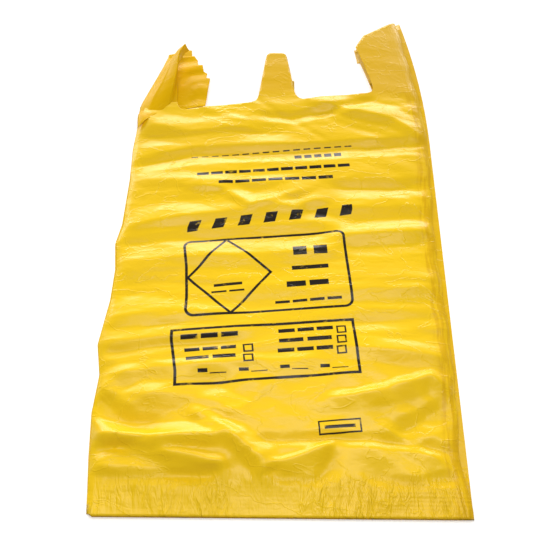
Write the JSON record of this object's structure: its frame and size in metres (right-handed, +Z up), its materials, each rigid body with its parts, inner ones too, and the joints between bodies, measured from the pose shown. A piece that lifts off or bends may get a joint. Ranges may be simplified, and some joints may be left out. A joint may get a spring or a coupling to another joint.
{
  "type": "biohazard waste bag",
  "caption": "Empty vest-style carrier sack of thin yellow plastic film for clinical waste, lying flat, with gusseted sides, a welded hem, two handles and a middle tab.",
  "frame": {"origin": "on the surface that the bag lies on, under the middle of its outline", "axes": "+X across the bag to the right of its printed front, +Y along it from the hem to the handles, +Z up, out of the printed front"},
  "size_m": [0.389, 0.7, 0.036],
  "materials": {
    "yellow_film": "glossy, slightly see-through yellow polyethylene film, softly creased, with a plain dark print of frames, rules and blocks"
  },
  "bodies": {
    "root": {"bag_film": "yellow_film"}
  },
  "joints": []
}
